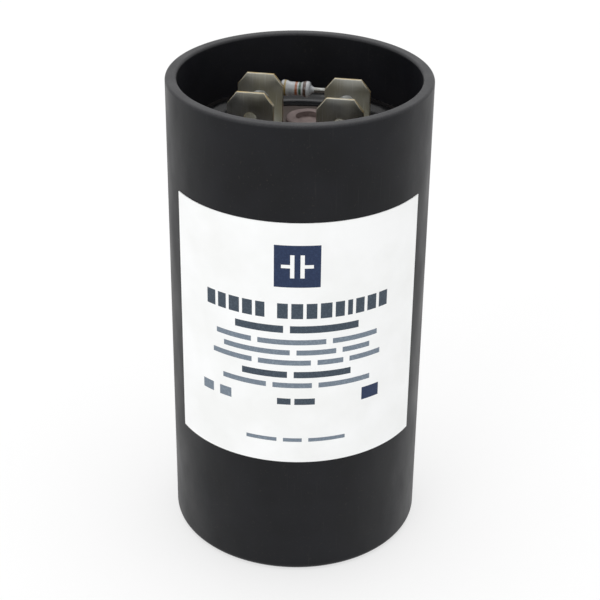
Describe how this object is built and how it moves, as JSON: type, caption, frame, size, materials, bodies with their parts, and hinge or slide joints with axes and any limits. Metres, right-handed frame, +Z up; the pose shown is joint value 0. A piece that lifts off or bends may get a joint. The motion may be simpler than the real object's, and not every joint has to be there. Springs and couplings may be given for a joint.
{
  "type": "motor start capacitor",
  "caption": "Round black motor start capacitor with a white label on its case and an open top well that holds riveted quick-connect blade terminals and a bleed resistor.",
  "frame": {"origin": "middle of the foot, on the surface that the case stands on", "axes": "+Z up along the case's axis to the open well, -Y out through the middle of the label"},
  "size_m": [0.0364, 0.0366, 0.0698],
  "materials": {
    "phenolic_case": "moulded, satin",
    "label_film": "printed white film, satin",
    "cover_phenolic": "moulded, matt",
    "gasket_rubber": "moulded, matt",
    "sealing_compound": "poured, satin",
    "vent_rubber": "moulded, matt",
    "tinned_brass": "tin plated sheet, satin",
    "rivet_aluminium": "headed, satin",
    "washer_steel": "zinc plated",
    "resistor_coat": "dipped coating with colour bands",
    "tinned_wire": "tinned copper wire",
    "solder": "flowed, bright",
    "lead_aluminium": "rolled foil",
    "insulating_board": "pressed fibre",
    "foil_winding": "wound foil and paper",
    "wrap_paper": "kraft wrap",
    "anchor_pitch": "poured pitch"
  },
  "bodies": {
    "root": {"case": "phenolic_case", "label": "label_film", "cover": "cover_phenolic", "cover_gasket": "gasket_rubber", "sealing_bead": "sealing_compound", "vent_plug": "vent_rubber", "terminal_left": "tinned_brass", "terminal_right": "tinned_brass", "terminal_rivets": "rivet_aluminium", "rivet_washers": "washer_steel", "resistor_body": "resistor_coat", "resistor_lead_left": "tinned_wire", "resistor_lead_right": "tinned_wire", "solder_joints": "solder", "lead_tab_left": "lead_aluminium", "lead_tab_right": "lead_aluminium", "top_insulator": "insulating_board", "winding": "foil_winding", "winding_wrap": "wrap_paper", "anchor_pitch": "anchor_pitch"}
  },
  "joints": []
}
